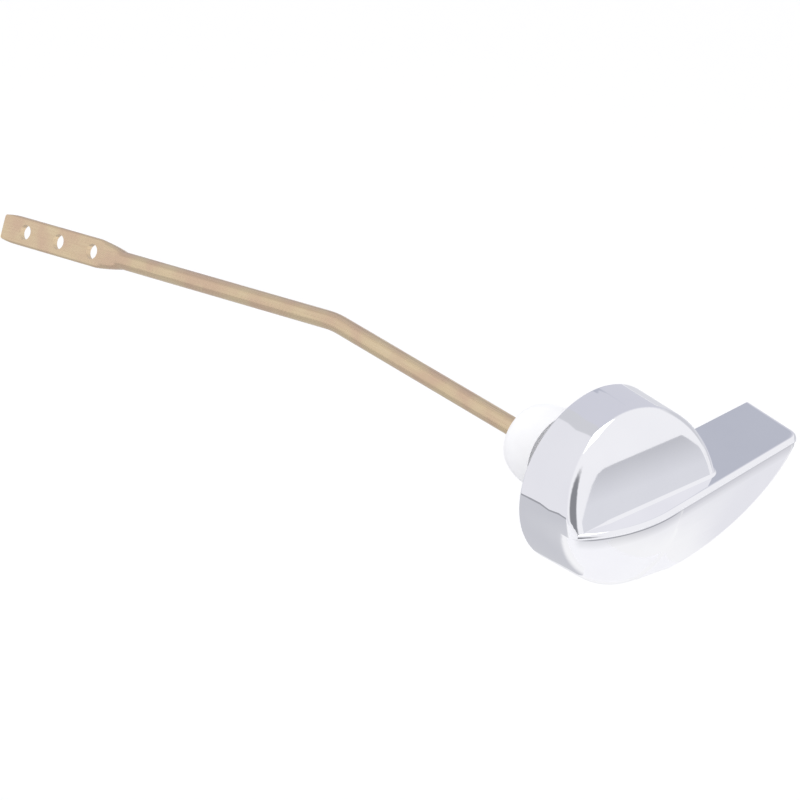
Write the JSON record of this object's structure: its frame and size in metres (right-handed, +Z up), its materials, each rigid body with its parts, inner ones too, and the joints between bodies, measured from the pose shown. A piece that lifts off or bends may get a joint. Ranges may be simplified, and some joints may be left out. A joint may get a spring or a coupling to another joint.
{
  "type": "cistern lever",
  "caption": "Toilet cistern lever: chrome drum handle with a finger lever, on a brass arm with a flat drilled end, held by a bushing and a domed nut.",
  "frame": {"origin": "on the handle's turning axis, on the outer face of the cistern wall, which is the gasket's back face", "axes": "+Y along the turning axis into the cistern, so -Y faces the user; +X along the finger lever; +Z up"},
  "size_m": [0.0772, 0.2544, 0.049],
  "materials": {
    "chrome": "polished plating on a zinc casting",
    "brass": "drawn, satin",
    "white_plastic": "moulded, satin",
    "rubber": "moulded, matt"
  },
  "bodies": {
    "mounting": {"bushing": "white_plastic", "gasket": "rubber", "nut": "white_plastic"},
    "lever": {"handle": "chrome", "arm": "brass"}
  },
  "joints": [
    {"name": "flush_turn", "type": "hinge", "parent": "mounting", "child": "lever", "pos_m": [0, 0, 0], "axis": [0, 1, 0], "range_deg": [0, 35]}
  ]
}
